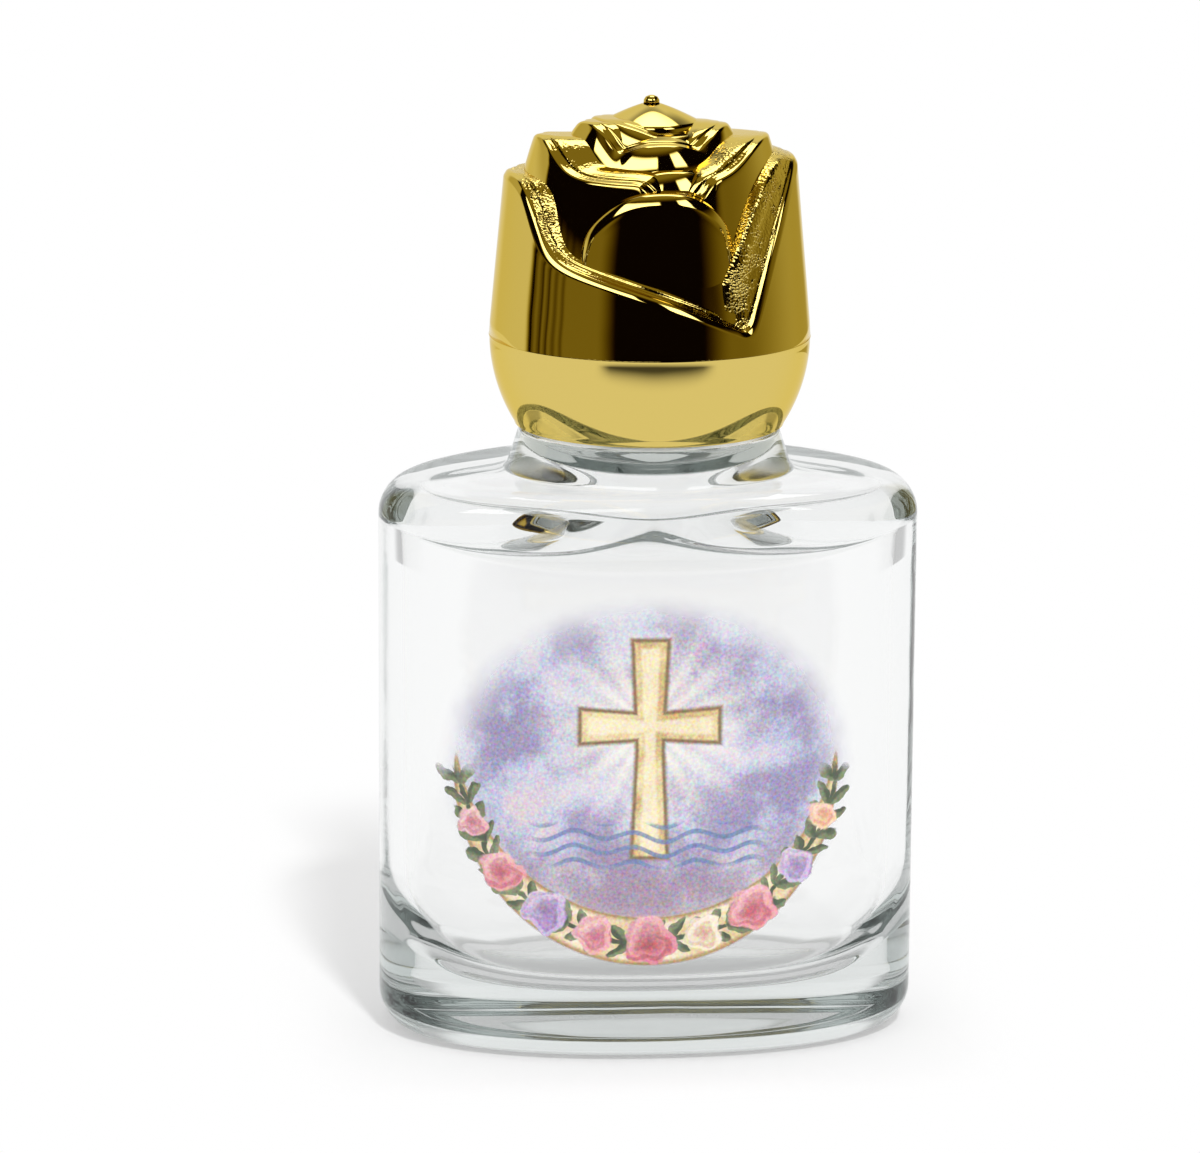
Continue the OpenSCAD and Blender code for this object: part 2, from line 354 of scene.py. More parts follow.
def inset_at(plan):
    """How far a point of the plan lies inside the body's side, found by halving."""
    low, high = np.zeros(len(plan)), np.full(len(plan), HALF_D - 0.01)
    for _ in range(40):
        middle = (low + high) / 2
        x = np.abs(plan[:, 0]) / (HALF_W - middle)
        y = np.abs(plan[:, 1]) / (HALF_D - middle)
        inside = x**FULLNESS + y**FULLNESS < 1
        low, high = np.where(inside, middle, low), np.where(inside, high, middle)
    return low


def ring_at(plan, height):
    """A ring of points from a plan and its heights."""
    return np.column_stack([plan, np.zeros(len(plan)) + height])


def rounded_edge(depth, radius):
    """Height of a rounded edge over its start, at a depth inside the side."""
    return np.sqrt(np.maximum(0, radius**2 - np.maximum(0, radius - depth) ** 2))


def soft_max(first, second, blend):
    """The larger of two heights, with a fillet where they meet."""
    return (first + second + np.sqrt((first - second) ** 2 + blend**2)) / 2


def thread_bead(height, start):
    """Rise of a right-hand thread, 0 to 1, at each column of a ring at this height."""
    turns = (height - start) / THREAD_PITCH - ROUND / (2 * np.pi)
    away = np.abs((turns + 0.5) % 1 - 0.5) * THREAD_PITCH
    starts = smooth_step(THREAD_LOW, THREAD_LOW + THREAD_FADE, height)
    stops = smooth_step(THREAD_HIGH, THREAD_HIGH - THREAD_FADE, height)
    return np.exp(-((away / BEAD_HALF) ** 4)) * (starts * stops)


print("plan of the body:", 2 * HALF_W, "by", 2 * HALF_D, "mm")

# %% [markdown]
# The cavity was blown, so its corners are soft: its floor is crowned, and its lower corners are thick at
# the two ends of the oval. Its ceiling is a dome that starts steep at the side, slopes, and flares up into
# the throat. A boolean could cut it, but refraction shows each facet of a cut, so the skin's first rings
# run up the inside. The ceiling's rings crowd at both ends, where it bends most.

# %% Cavity
FLOOR_CROWN, CORNER_RUN, CORNER_RISE = 0.3, 3.0, 5.0
FLOOR_RUN = CAVITY_R + CORNER_RUN * SIDE**2
FLOOR_RISE = CAVITY_R + CORNER_RISE * SIDE**2
DOME_FRONT_Z, DOME_SIDE_RISE = 37.8, 2.8
DOME_Z = DOME_FRONT_Z + DOME_SIDE_RISE * SIDE
DOME_START, DOME_SLOPE, DOME_FLARE = 0.3, 0.3, 0.4
THROAT_R, THROAT_LOW, THROAT_HIGH = 6.65, 45.3, 47.3
circle = np.stack([np.cos(ROUND), np.sin(ROUND)], axis=1)
rings = []
for share in [0, 0.15, 0.4, 0.7, 0.9]:
    rings.append(ring_at(oval(WALL + FLOOR_RUN) * share, BASE_T + FLOOR_CROWN * (1 - share**2)))
for sweep in np.radians(np.linspace(-90, 0, 15)):
    inset = WALL + FLOOR_RUN * (1 - math.cos(sweep))
    rings.append(ring_at(oval(inset), BASE_T + FLOOR_RISE * (1 + math.sin(sweep))))
side_plan = oval(WALL)
side_low = BASE_T + FLOOR_RISE
for share in np.linspace(0, 1, 9)[1:]:
    rings.append(ring_at(side_plan, side_low + (DOME_Z - side_low) * share))
for share in (1 - np.cos(np.linspace(0, np.pi, 36)[1:])) / 2:
    steep_start = math.sqrt(1 - (1 - share) ** 2)
    steep_end = 1 - math.sqrt(1 - share**2)
    rise = DOME_START * steep_start + DOME_SLOPE * share + DOME_FLARE * steep_end
    plan = side_plan + (circle * THROAT_R - side_plan) * share
    rings.append(ring_at(plan, DOME_Z + (THROAT_LOW - DOME_Z) * rise))
print("rings of the cavity:", len(rings))

# %% [markdown]
# From the throat the skin goes up the bore, over the rounded mouth, down the threaded neck and out over the
# ledge that the cap's rim nearly touches. All of it is round, so a ring is a circle with a radius and a
# height, and every rounded edge is a short arc of rings.

# %% Throat, mouth, neck and ledge
NARROWING = 2.4


def arc_rings(radius, height, rounding, start, end, count):
    """Adds round rings along an arc, whose centre lies at a radius and a height."""
    for sweep in np.radians(np.linspace(start, end, count)):
        out, rise = rounding * math.cos(sweep), rounding * math.sin(sweep)
        rings.append(ring_at(circle * (radius + out), height + rise))


throat_start = len(rings)
for height in np.linspace(THROAT_LOW, THROAT_HIGH, 6)[1:]:
    rings.append(ring_at(circle * THROAT_R, height))
throat_end = len(rings)
for share in np.linspace(0, 1, 7)[1:]:
    narrow = THROAT_R + (MOUTH_R - THROAT_R) * smooth_step(0, 1, share)
    rings.append(ring_at(circle * narrow, THROAT_HIGH + NARROWING * share))
for height in np.linspace(THROAT_HIGH + NARROWING, MOUTH_Z - LIP_R, 6)[1:]:
    rings.append(ring_at(circle * MOUTH_R, height))
arc_rings(MOUTH_R + LIP_R, MOUTH_Z - LIP_R, LIP_R, 162, 90, 5)
arc_rings(NECK_R - LIP_R, MOUTH_Z - LIP_R, LIP_R, 90, 0, 6)
for height in np.arange(MOUTH_Z - LIP_R - 0.5, LEDGE_Z + 0.5, -BEAD_STEP):
    radius = NECK_R + BEAD_RISE * thread_bead(height, 0.0)
    rings.append(ring_at(circle * radius[:, None], height))
arc_rings(NECK_R + NECK_FILLET, LEDGE_Z + NECK_FILLET, NECK_FILLET, 180, 270, 5)
ledge_start = len(rings) - 1
arc_rings(COLLAR_R - COLLAR_EDGE, LEDGE_Z - COLLAR_EDGE, COLLAR_EDGE, 90, 0, 5)
print("rings up to the ledge:", len(rings))

# %% [markdown]
# The shoulder has to turn the collar's circle into the oval: each of its points moves on a straight line
# from one to the other, and gets the greater of two heights, the collar's cone or the rounded shoulder.
# Squaring the steps crowds the points near the edge, where the shoulder curves most. The side runs down to
# the heel, and the base is hollow in the middle, so that the bottle stands on a rim. The mesh keeps two
# values for the finish: painted shade on the throat, and frost on the ledge and under the base.

# %% Shoulder, side and base
COLLAR_FOOT, BEARING_W, PUSHUP = 11.35, 2.6, 0.8


def shoulder_height(plan):
    """The greater of the collar's cone and the shoulder, which rises from its rounded edge to the axis."""
    inward = 1 - np.hypot(*plan.T) / np.hypot(*oval(EDGE_R).T)
    roof = np.maximum(0, inward) * (SHOULDER_Z + SHOULDER_RISE - EDGE_Z)
    shoulder = EDGE_Z - EDGE_R + rounded_edge(inset_at(plan), EDGE_R) + roof
    collar = LEDGE_Z - COLLAR_EDGE - (np.hypot(plan[:, 0], plan[:, 1]) - COLLAR_R) / math.tan(COLLAR_LEAN)
    return soft_max(shoulder, collar, COLLAR_FILLET)


outer_plan = oval(0)
for radius in np.linspace(COLLAR_R, COLLAR_FOOT, 12)[1:]:
    plan = circle * radius
    rings.append(ring_at(plan, shoulder_height(plan)))
for share in np.linspace(1, 0, 30)[1:]:
    plan = outer_plan + (circle * COLLAR_FOOT - outer_plan) * share**2
    rings.append(ring_at(plan, shoulder_height(plan)))
side_top = EDGE_Z - EDGE_R
for share in np.linspace(0, 1, 9)[1:]:
    rings.append(ring_at(outer_plan, side_top + (HEEL_R - side_top) * share))
for sweep in np.radians(np.linspace(0, -90, 13)[1:]):
    rings.append(ring_at(oval(HEEL_R * (1 - math.cos(sweep))), HEEL_R * (1 + math.sin(sweep))))
base_start = len(rings) - 1
hollow_plan = oval(HEEL_R + BEARING_W)
for share in [1, 0.93, 0.8, 0.5, 0.2, 0]:
    rings.append(ring_at(hollow_plan * share, PUSHUP * smooth_step(1, 0.6, share)))
print("rings of the whole skin:", len(rings))

# %% Bottle
rows = np.arange(len(rings))
# These rows carry the painted shade of the throat, the grey band seen in the collar.
shaded_throat = (rows >= throat_start - 1) & (rows <= throat_end)
ledge = (rows == ledge_start) | (rows == ledge_start + 1)
frosted = (rows >= base_start) | ledge
bm = bmesh.new()
bm.verts.layers.float.new("throat_shade")
bm.verts.layers.float.new("frost")
add_skin(bm, rings, marks={
    "throat_shade": [np.full(GLASS_COLUMNS, value) for value in shaded_throat],
    "frost": [np.full(GLASS_COLUMNS, value) for value in frosted],
})
finish_piece("bottle_glass", bm, "bottle", "clear_glass", clear_glass, "glass_bottle")

# %% [markdown]
# The front carries a printed film, a transfer without a visible carrier. Its picture here is a generic one
# in soft lilac, blue, rose and green: a plain cross in a glow, waves of water, and a garland on a cream
# crescent. A painted image would be quick, but it blurs when it is enlarged. So the drawing is shader maths
# on the film's own millimetres: each motif is a mask from a distance, with a soft step at its edge, and the
# colours are mixed in turn.

# %% Masks for the print
PRINT_X, PRINT_Z = -0.9, 22.4
GARLAND_R, GARLAND_Z = 14.6, 2.2


def distance(x, z):
    """Distance of a point from the middle of its coordinates."""
    return (x * x + z * z).math("SQRT")


def blossom(x, z, centre, size, turn):
    """Mask of a full blossom, the share of the way to its rim, the shade of its petals, and its lit side."""
    along_x, along_z = x - centre[0], z - centre[1]
    away = distance(along_x, along_z)
    round_it = along_z.math("ARCTAN2", along_x)
    lobes = (round_it * 5 + turn).math("COSINE") * 0.06 + (round_it * 3 + turn * 2).math("COSINE") * 0.05
    tip = (lobes + 0.9) * size
    out = away / tip
    spiral = out * 12 + round_it + turn + (round_it * 3 + turn).math("SINE") * 0.9
    curl = spiral.math("SINE").step(-0.2, 0.9)
    light = ((along_z * 0.8 - along_x * 0.5) / size).step(-0.6, 0.9)
    return away.step(tip, tip - 0.2), out, curl, light


def leaves(along, out, spacing, length, width, lean, centre):
    """Mask of leaves in pairs along a stem, and a value that differs on the two halves of each leaf."""
    local = (along / spacing).math("FRACT") * spacing - spacing / 2
    side = abs(out) - centre
    cos, sin = math.cos(lean), math.sin(lean)
    lengthways = (local * cos + side * sin) / length
    crossways = (side * cos - local * sin) / width
    return (lengthways**2 + crossways**2).step(1.05, 0.7), crossways.step(-0.3, 0.3)


def on_garland(x, z):
    """Distance from the garland's centre, and the angle from straight down."""
    return distance(x, z - GARLAND_Z), x.math("ARCTAN2", GARLAND_Z - z)


print("masks for the print are ready")

# %% [markdown]
# The picture starts with its ground: clouds of lilac and blue that turn to a warm dusk below and fade out
# at the rim. A glow with faint rays lies behind the cross. The cross is the union of two flared bars, whose
# distance gives a dark outline, a gilt face and a lighter middle in three steps. The waves are bands of a
# sine.

# %% Ground, glow, cross and waves
LILAC, SKY = (0.30, 0.26, 0.44, 1), (0.52, 0.54, 0.70, 1)
DUSK, BLUSH = (0.36, 0.26, 0.34, 1), (0.76, 0.60, 0.60, 1)
GLOW, RAY = (0.88, 0.82, 0.74, 1), (0.94, 0.90, 0.80, 1)
OUTLINE, GILT = (0.24, 0.14, 0.06, 1), (0.60, 0.41, 0.16, 1)
PALE_GILT, GILT_LIGHT = (0.80, 0.66, 0.38, 1), (0.90, 0.82, 0.60, 1)
WATER = (0.12, 0.20, 0.40, 1)
GROUND_HALF_W, GROUND_HALF_H, GROUND_UP = 16.4, 14.2, 1.0
BEAM_Z, BEAM_HALF, BEAM_FLARE = 4.6, 5.2, 0.07
POST_Z, POST_HALF, POST_FLARE, BAR_HALF = 2.8, 8.4, 0.045, 0.85
WAVES_DOWN, WAVE_GAP = 4.4, 1.15
printed_film, tree = new_finish("printed_film")
coords, (x, _, z) = place_of(tree)
x, z = x - PRINT_X, z - PRINT_Z
clouds = noise(coords, 170.0, 4.0, 0.6)
wisps = noise(coords, 420.0, 3.0)

away = distance(x / GROUND_HALF_W, (z - GROUND_UP) / GROUND_HALF_H)
ground = (away + (wisps - 0.5) * 0.05).step(1.0, 0.74)
colour = mix(clouds.step(0.4, 0.6), LILAC, SKY)
colour = mix((z + wisps * 6).step(1, -7) * 0.8, colour, DUSK)
colour = mix(clouds.step(0.55, 0.68) * 0.6, colour, BLUSH)

beam_z = z - BEAM_Z
glow_r = distance(x, beam_z)
rays = ((beam_z.math("ARCTAN2", x) * 18).math("COSINE") * 0.5 + 0.5) * glow_r.step(11, 2)
colour = mix(glow_r.step(10.5, 0.5) * 0.65, colour, GLOW)
colour = mix(rays * 0.5, colour, RAY)

post_z = abs(z - POST_Z)
post = (abs(x) - (BAR_HALF + post_z * POST_FLARE)).larger(post_z - POST_HALF)
beam = (abs(beam_z) - (BAR_HALF + abs(x) * BEAM_FLARE)).larger(abs(x) - BEAM_HALF)
cross = post.smaller(beam)
colour = mix(cross.step(0.5, 0.15), colour, OUTLINE)
colour = mix(cross.step(0.12, -0.12), colour, mix(wisps.step(0.35, 0.65), GILT, PALE_GILT))
colour = mix(cross.step(-0.3, -0.62) * 0.7, colour, GILT_LIGHT)

wave_z = z + WAVES_DOWN
waves_on = wave_z.step(-2.4, -1.8) * wave_z.step(1.6, 1.0) * abs(x).step(9.8, 7.4)
swell = z + (x * 1.35).math("SINE") * 0.34 + (x * 0.6 + 1).math("SINE") * 0.15
lines = abs((swell / WAVE_GAP).math("FRACT") - 0.5).step(0.22, 0.1)
colour = mix(waves_on * lines * (0.55 + wisps * 0.5), colour, WATER)
print("ground, glow, cross and waves:", len(tree.nodes), "nodes")

# %% [markdown]
# Below lies a crescent of cream with a brown edge, and on it a garland: a stem with leaves in pairs, and
# blossoms that a few values each describe. Drawn exactly they look like clip art, so a noise first moves
# the coordinates by a fraction of a millimetre, as a brush does, while the crescent keeps its clean edge.

# %% Crescent and garland
CREAM, PALE_CREAM, CREAM_EDGE = (0.72, 0.55, 0.30, 1), (0.86, 0.76, 0.58, 1), (0.40, 0.25, 0.08, 1)
LEAF_DARK, LEAF, LEAF_LIGHT = (0.055, 0.08, 0.04, 1), (0.17, 0.21, 0.10, 1), (0.28, 0.30, 0.19, 1)
PETAL_LIGHT = (0.95, 0.85, 0.80, 1)
CRESCENT_HALF, SMEAR = 1.9, 1.3
garland_r, garland_a = on_garland(x, z)
crescent = abs(garland_r - GARLAND_R) - (garland_a * 0.98).math("COSINE") * CRESCENT_HALF
arc_on = crescent.step(0.15, -0.1) * abs(garland_a).step(1.6, 1.5)
cream = mix(wisps.step(0.35, 0.65), CREAM, PALE_CREAM)
colour = mix(arc_on, colour, mix(crescent.step(-0.5, -0.05), cream, CREAM_EDGE))

smear_x, smear_z, _ = split(noise(coords, 620.0, 2.0, out=1))
x, z = x + (smear_x - 0.5) * SMEAR, z + (smear_z - 0.5) * SMEAR
garland_r, garland_a = on_garland(x, z)
stem = garland_r - GARLAND_R + (garland_a * 9).math("SINE") * 0.25
leaf, half = leaves(
    abs(garland_a) * GARLAND_R, stem, spacing=1.55, length=0.98, width=0.42, lean=0.75, centre=0.72
)
foliage = leaf.larger(abs(stem).step(0.24, 0.12)) * abs(garland_a).step(1.52, 1.42)
green = mix(wisps.step(0.45, 0.65) * 0.6, mix(half, LEAF_DARK, LEAF), LEAF_LIGHT)
colour = mix(foliage, colour, green)
printed = ground.larger(foliage.larger(arc_on))
print("crescent and garland:", len(tree.nodes), "nodes")

# %% Blossoms
# Angle along the garland, size, turn, and the colours of the heart and of the petals' tips.
BLOSSOMS = [
    (0.0, 2.3, 0.3, (0.40, 0.03, 0.07, 1), (0.72, 0.26, 0.30, 1)),
    (0.30, 1.7, 1.2, (0.62, 0.42, 0.24, 1), (0.86, 0.76, 0.60, 1)),
    (-0.29, 1.75, 2.2, (0.50, 0.10, 0.16, 1), (0.80, 0.40, 0.42, 1)),
    (0.58, 2.1, 0.8, (0.46, 0.05, 0.10, 1), (0.78, 0.32, 0.36, 1)),
    (-0.57, 2.0, 1.9, (0.24, 0.13, 0.36, 1), (0.55, 0.42, 0.66, 1)),
    (0.90, 1.6, 2.6, (0.26, 0.16, 0.38, 1), (0.58, 0.46, 0.68, 1)),
    (-0.88, 1.9, 0.1, (0.48, 0.06, 0.11, 1), (0.78, 0.34, 0.37, 1)),
    (1.20, 1.4, 1.5, (0.66, 0.30, 0.16, 1), (0.88, 0.60, 0.40, 1)),
    (-1.18, 1.35, 0.9, (0.50, 0.12, 0.18, 1), (0.80, 0.46, 0.48, 1)),
]
for angle, size, turn, heart, tip in BLOSSOMS:
    centre = (GARLAND_R * math.sin(angle), GARLAND_Z - GARLAND_R * math.cos(angle))
    petals, out, curl, light = blossom(x, z, centre, size, turn)
    petal_colour = mix(out.step(0.1, 0.8), heart, tip)
    petal_colour = mix(curl * 0.6, petal_colour, heart)
    petal_colour = mix(light * 0.3, petal_colour, PETAL_LIGHT)
    colour = mix(petals, colour, petal_colour)
    printed = printed.larger(petals)
print("blossoms:", len(BLOSSOMS))

# %% [markdown]
# Seen close, a print is made of specks of ink. A fine noise in three colours, laid over the picture, stands
# for them, and another varies the gloss, the cover and the relief of the ink. Where nothing is printed the
# film is clear, so the mask of the picture is the film's alpha.

# %% Printed film finish
INK_SHARE = 0.75
speck = noise(coords, 3800.0, 2.0)
inks = noise(coords, 4400.0, 1.0, out=1)
overlay = {"data_type": "RGBA", "blend_type": "OVERLAY"}
colour = node(tree, "ShaderNodeMix", overlay, {0: INK_SHARE, 6: colour, 7: inks}, out=2)
film_shader = node(tree, "ShaderNodeBsdfPrincipled", None, {
    "Base Color": colour,
    "Roughness": 0.42 + speck * 0.2,
    "Alpha": printed * kept(tree, "print") * (0.9 + speck * 0.1),
    "Normal": bump(speck, 0.4, 0.00002),
})
show(tree, film_shader)
print("finish:", printed_film.name, "with", len(tree.nodes), "nodes")

# %% [markdown]
# The film itself is a thin skin on the glass. A plane with a Shrinkwrap modifier would follow the glass
# too, but the body's formula gives the exact curve. Rings of a rounded outline grow from its middle to its
# edge on the outside, and shrink back on the glass side, so it is closed. Only the outside carries the
# print.

# %% Printed film
FILM_W, FILM_H, FILM_Z, FILM_T, GLUE_T = 17.0, 16.0, 22.6, 0.12, 0.02
FILM_COLUMNS, FILM_ROWS, FILM_EDGE = 128, 17, 1.004


def film_ring(share, off):
    """One outline of the film, at a share of its full size and a distance off the glass."""
    angles = np.linspace(0, 2 * np.pi, FILM_COLUMNS, endpoint=False)
    cos, sin = np.cos(angles), np.sin(angles)
    x = FILM_W * share * np.sign(cos) * np.abs(cos) ** (2 / FULLNESS)
    z = FILM_H * share * np.sign(sin) * np.abs(sin) ** (2 / FULLNESS)
    y = (HALF_D + off) * (1 - (np.abs(x) / (HALF_W + off)) ** FULLNESS) ** (1 / FULLNESS)
    return np.stack([x, -y, FILM_Z + z], axis=1)


shares = np.linspace(0, 1, FILM_ROWS)
rings = [film_ring(share, GLUE_T + FILM_T) for share in shares]
rings += [film_ring(FILM_EDGE, GLUE_T + FILM_T / 2)]
rings += [film_ring(share, GLUE_T) for share in shares[::-1]]
bm = bmesh.new()
bm.verts.layers.float.new("print")
marks = [np.ones(FILM_COLUMNS)] * FILM_ROWS + [np.zeros(FILM_COLUMNS)] * (FILM_ROWS + 1)
add_skin(bm, rings, marks={"print": marks})
finish_piece("front_film", bm, "bottle", "printed_film", printed_film, "front_decal")

# %% [markdown]
# The cap is vacuum-plated plastic: a mirror-bright, slightly greenish gold. Its petals are polished, while
# the narrow edges of the petals came out of a spark-eroded tool and are finely pitted. Modelled pits would
# take millions of faces, so a value on the mesh marks those edges, and the pits are a bump there, with more
# roughness and deeper in patches. The polish itself is never quite flat, so a weak ripple bends the
# reflections.

# %% Gold plating finish
GOLD, GOLD_RIM = (0.735, 0.565, 0.155, 1), (0.92, 0.82, 0.5, 1)
PIT_DEPTH, RIPPLE_DEPTH = 0.07 * MM, 0.06 * MM
gold_plating, tree = new_finish("gold_plating")
coords, _ = place_of(tree)
grain = kept(tree, "grain")
pits = node(tree, "ShaderNodeTexVoronoi", None, {"Vector": coords, "Scale": 4600.0})
patches = noise(coords, 750.0, 2.0).step(0.44, 0.64)
ripple = noise(coords, 170.0, 1.0)
relief = pits * pits * grain * (0.4 + patches) * PIT_DEPTH + ripple * RIPPLE_DEPTH
plating_shader = node(tree, "ShaderNodeBsdfPrincipled", None, {
    "Base Color": GOLD,
    "Metallic": 1.0,
    "Specular Tint": GOLD_RIM,
    "Roughness": 0.035 + grain * 0.05,
    "Normal": bump(relief, 1.0, 1.0),
})
show(tree, plating_shader)
print("finish:", gold_plating.name)

# %% [markdown]
# The rose is stepped: six rings of petals, one inside the other, each a cone that leans in and ends in a
# wavy edge. Petals could be sculpted one by one, but the mirror shows every dent, so each edge is a formula
# for its height at each direction: soft steps and arches fitted to the photograph.
# Directions are in degrees from the front, to the right, and heights are above the cap's seam.

# %% Heights of the petals' edges
SEAM_Z = 55.15
LEAN = math.tan(math.radians(5.2))
OUTER_START, OUTER_FOOT, OUTER_SUMMIT = 80, 113, 170
OUTER_TOPS, OUTER_LOW, OUTER_SLIDE = (12.85, 14.0), 1.7, 6.0
STEP_AT, STEP_WIDTH, SLIDE_BULGE, RISE_POWER = 24.7, 4.8, 0.85, 2.38
ARCH_POWER, ARCH_SOFT = 2.5, 0.7
SIDE_LOW = 13.0
# Direction, rise, and the reach and softness of the left and the right end. The last two are gaps.
SIDE_PETALS = [
    (-90, 3.0, 14, 7, 30, 7),
    (90, 2.8, 44, 8, 22, 7),
    (8.5, -1.5, 14, 1.5, 14, 1.5),
    (185, -1.2, 16, 1.5, 16, 1.5),
]


def soft_drop(angle, middle, width):
    """1 well before the middle and 0 well after it."""
    return 1 / (1 + np.exp(np.clip((angle - middle) / width, -40, 40)))


def apart(angle, other):
    """Signed angle from one direction to another, within half a turn."""
    return (angle - other + 180) % 360 - 180


def outer_edge(angle):
    """Two petals that wrap the rose: each steps down from its top, slides to the other's foot, and rises."""
    turn = (angle + OUTER_START) % 360
    own = np.where(turn < 180, *OUTER_TOPS)
    following = np.where(turn < 180, *OUTER_TOPS[::-1])
    turn = turn % 180
    left = 1 - turn / OUTER_FOOT
    slide = OUTER_LOW + OUTER_SLIDE * left * (1 + SLIDE_BULGE * (1 - left))
    fall = slide + (own - OUTER_LOW - OUTER_SLIDE) * soft_drop(turn, STEP_AT, STEP_WIDTH)
    to_come = np.maximum(0, OUTER_SUMMIT - turn) / (OUTER_SUMMIT - OUTER_FOOT)
    rise = following - (following - OUTER_LOW) * to_come**RISE_POWER
    return np.where(turn < OUTER_FOOT, fall, rise)


def arches(petals, low):
    """Edge of a ring of arched petals over a low level.

    A petal has its direction, height, half turn, the fall of its left and right side, and where they end.
    """

    def edge(angle):
        height = np.full(len(angle), float(low))
        for middle, top, half, left, right, start, end in petals:
            off = apart(angle, middle)
            fall = np.where(off < 0, left, right) * (np.abs(off) / half) ** ARCH_POWER
            ends = soft_drop(off, end, ARCH_SOFT) * soft_drop(-off, start, ARCH_SOFT)
            height = np.maximum(height, low + (top - fall - low) * ends)
        return height

    return edge


def side_edge(angle):
    """The two petals beside the heart. They run low behind the front petal and behind the back one."""
    height = np.full(len(angle), SIDE_LOW)
    for middle, rise, left, left_soft, right, right_soft in SIDE_PETALS:
        off = apart(angle, middle)
        height += rise * soft_drop(-off, left, left_soft) * soft_drop(off, right, right_soft)
    return height


front_edge = arches(
    [[0.5, 12.4, 38.5, 4.06, 4.84, 39, 33.6], [182, 12.6, 40, 4.2, 4.2, 38, 38]],
    1.6,
)
heart_edge = arches([[9, 13.7, 40, 3, 3, 60, 60], [190, 14.0, 44, 3, 3, 60, 60]], 11.4)
core_edge = arches(
    [
        [4, 15.5, 40, 1.3, 1.5, 60, 60],
        [-66, 16.85, 34, 1.9, 1.9, 60, 60],
        [78, 16.5, 47, 1.6, 1.6, 60, 60],
        [176, 16.2, 46, 1.6, 1.6, 60, 60],
    ],
    14.6,
)
wrap_edge = arches([[-75, 16.95, 70, 0.9, 0.9, 90, 90]], 15.95)
print("outer edge at the front:", round(float(outer_edge(np.array([0.0]))[0]), 2), "mm above the seam")

# %% [markdown]
# Each ring is a skin again. Its columns are spaced evenly along the edge, so that steep stretches get as
# many as level ones. From the foot, a column runs up the cone, turns over a rounded lip, and runs inwards
# over a sloping band to a place inside the next ring. On the two outer rings the lip has a flat bevel,
# which catches the light as a broad bright line. The band is the edge grown upwards and sideways, more and
# more towards the heart: the height at a point is the greatest that half an ellipse, moved along the edge,
# has there. So a steep edge gets a wide bevel and a level one a narrow band, and no corner folds over. The
# band has a groove and a fine ridge, and it is level where a petal is tallest.

# %% Edges that soften and grow
FINE = np.linspace(-180, 180, 4001)[:-1]


def soften(heights, radius, width):
    """Heights round the turn, with their corners softened over a width in millimetres."""
    spread = width / (2 * np.pi * radius / len(FINE))
    reach = int(spread * 4)
    weights = np.exp(-0.5 * (np.arange(-reach, reach + 1) / spread) ** 2)
    padded = np.concatenate([heights[-reach:], heights, heights[:reach]])
    return np.convolve(padded, weights / weights.sum(), "valid")


def along_edge(heights, radius, columns):
    """Directions of points spaced evenly along an edge."""
    run = np.radians(360 / len(FINE)) * radius
    lengths = np.hypot(run, np.diff(np.append(heights, heights[0])))
    ends = np.concatenate([[0], np.cumsum(lengths)])
    return np.interp(np.linspace(0, ends[-1], columns, endpoint=False), ends, np.append(FINE, 180.0))


def grown(heights, rises, run, left, right):
    """Heights grown by half ellipses. rises is their height at a direction, left and right their reach."""
    best = heights + rises
    for shift in range(-int(left / run), int(right / run) + 1):
        reach = (right if shift > 0 else left) / run
        half = math.sqrt(max(0.0, 1 - (shift / reach) ** 2))
        best = np.maximum(best, np.roll(heights + rises * half, shift))
    return best


print("directions round the rose:", len(FINE))

# %% Lip, groove and ridge
LIP_TURNS, BEVEL_TURN = [0, 14, 27, 45, 68, 90], 27
GROOVE_DEPTH, GROOVE_AT, RIDGE_HEIGHT, RIDGE_AT, GROOVE_WIDTH = 0.1, 0.3, 0.07, 0.54, 0.09


def lip_profile(radius, bevel):
    """Turn, height and way inwards of a lip's points: two round parts, with a flat bevel between them."""
    flat = math.radians(BEVEL_TURN)
    points = []
    for turned in LIP_TURNS:
        sweep = math.radians(turned)
        shares = [1 if turned > BEVEL_TURN else 0]
        if bevel and turned == BEVEL_TURN:
            shares = [0, 0.5, 1]
        for share in shares:
            height = radius * math.sin(sweep) + bevel * share * math.cos(flat)
            inwards = radius * (1 - math.cos(sweep)) + bevel * share * math.sin(flat)
            points.append((turned, height, inwards))
    return points


def groove_at(step):
    """How far the band is sunk at a way inwards from the lip. A ridge counts as less than nothing."""
    groove = GROOVE_DEPTH * math.exp(-(((step - GROOVE_AT) / GROOVE_WIDTH) ** 2))
    return groove - RIDGE_HEIGHT * math.exp(-(((step - RIDGE_AT) / GROOVE_WIDTH) ** 2))


print("points of a bevelled lip:", len(lip_profile(1, 1)))

# %% Petals
EDGE_SOFT, LEVEL_SHARE, RADIUS_AT = 0.36, 0.9, 12
SEAM_TUCK, TUCK_HEIGHT = 0.035, 1.6
PIT_TURN, PIT_SPREAD = 60, 90
EASE_START, EASE_SLOPE, LEFT_RUN, RIGHT_RUN = 0.9, 0.3, 0.75, 2
RIGHT_AT, RIGHT_HALF, RIGHT_SOFT = 90, 40, 6
SLIDE_AT, SLIDE_HALF, SLIDE_SOFT, SLIDE_POLISH = 71, 30, 2, 0.85
WALL_DROPS = [60, 20, 12, 8, 5, 3.2, 2.2, 1.6, 1.2, 0.9, 0.65, 0.45]
BAND_STEPS = [0.1, 0.2, 0.3, 0.42, 0.54, 0.66, 0.8, 0.95, 1.1, 1.3, 1.6, 2.0, 2.5]


